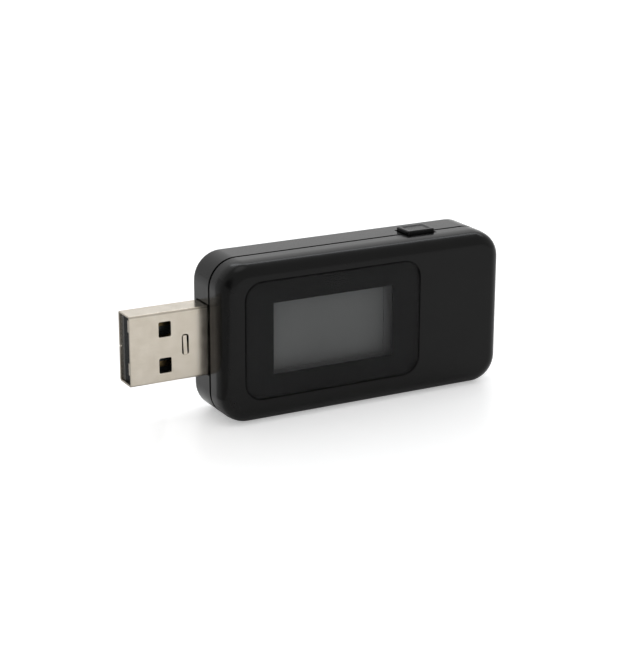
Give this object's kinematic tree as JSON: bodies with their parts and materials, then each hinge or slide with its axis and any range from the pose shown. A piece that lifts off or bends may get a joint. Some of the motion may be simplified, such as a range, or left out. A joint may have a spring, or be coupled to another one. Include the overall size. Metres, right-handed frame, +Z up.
{
  "type": "usb power meter",
  "caption": "Pass-through USB power meter: a flat two-shell plastic case with a plug on one end, a socket on the other, a display behind a lens and a push key on the narrow side.",
  "frame": {"origin": "on the surface the meter stands on, under the middle of the case and plug together", "axes": "+X from the plug towards the socket, -Y out of the display side, +Z up to the key"},
  "size_m": [0.0676, 0.0124, 0.0281],
  "materials": {
    "case_plastic": "satin, finely textured",
    "lens_acrylic": "clear, tinted, polished",
    "mask_ink": "printed black",
    "gasket_foam": "fine closed-cell foam",
    "bezel_tape": "matt grey film",
    "polarizer_film": "neutral grey film",
    "display_glass": "clear, polished",
    "guide_acrylic": "clear, polished",
    "white_plastic": "moulded white",
    "reflector_film": "white reflective film",
    "led_package": "phosphor in a white package",
    "chip_resin": "moulded black resin",
    "flex_film": "amber polyimide",
    "board_laminate": "green solder mask",
    "tinned_metal": "matt tin",
    "shunt_alloy": "dark coated element",
    "capacitor_ceramic": "fired ceramic",
    "resistor_ceramic": "black glaze",
    "plug_metal": "bright nickel plate",
    "plug_plastic": "grey moulded resin",
    "contact_metal": "gold plate",
    "socket_metal": "bright nickel plate",
    "socket_plastic": "black moulded resin",
    "key_plastic": "satin",
    "switch_plastic": "moulded black resin",
    "spring_metal": "spring steel",
    "plunger_plastic": "moulded grey resin"
  },
  "bodies": {
    "case": {"front_cover": "case_plastic", "rear_cover": "case_plastic", "display_lens": "lens_acrylic", "lens_mask": "mask_ink", "display_gasket": "gasket_foam", "display_bezel": "bezel_tape", "front_polarizer": "polarizer_film", "front_glass": "display_glass", "rear_glass": "display_glass", "rear_polarizer": "polarizer_film", "light_guide": "guide_acrylic", "backlight_frame": "white_plastic", "backlight_reflector": "reflector_film", "backlight_leds": "led_package", "display_driver": "chip_resin", "display_flex": "flex_film", "display_foam_pad": "gasket_foam", "circuit_board": "board_laminate", "microcontroller": "chip_resin", "memory_chip": "chip_resin", "amplifier_chip": "chip_resin", "voltage_regulator": "chip_resin", "chip_leads": "tinned_metal", "current_shunt": "shunt_alloy", "ceramic_capacitors": "capacitor_ceramic", "chip_resistors": "resistor_ceramic", "plug_shell": "plug_metal", "plug_insulator": "plug_plastic", "plug_contacts": "contact_metal", "socket_shell": "socket_metal", "socket_insulator": "socket_plastic", "socket_contacts": "contact_metal", "switch_housing": "switch_plastic", "switch_cover": "tinned_metal", "switch_dome": "spring_metal", "switch_terminals": "tinned_metal"},
    "key": {"button_cap": "key_plastic"},
    "plunger": {"switch_plunger": "plunger_plastic"}
  },
  "joints": [
    {"name": "key_press", "type": "slide", "parent": "case", "child": "key", "axis": [0, 0, -1], "range_m": [0, 0.0003], "stiffness_N_per_m": 5000, "springref_m": -0.00008},
    {"name": "plunger_press", "type": "slide", "parent": "case", "child": "plunger", "axis": [0, 0, -1], "range_m": [0, 0.0003], "deforming": ["switch_dome"]}
  ],
  "couplings": [
    {"joint": "plunger_press", "follows": "key_press", "ratio": 1}
  ]
}
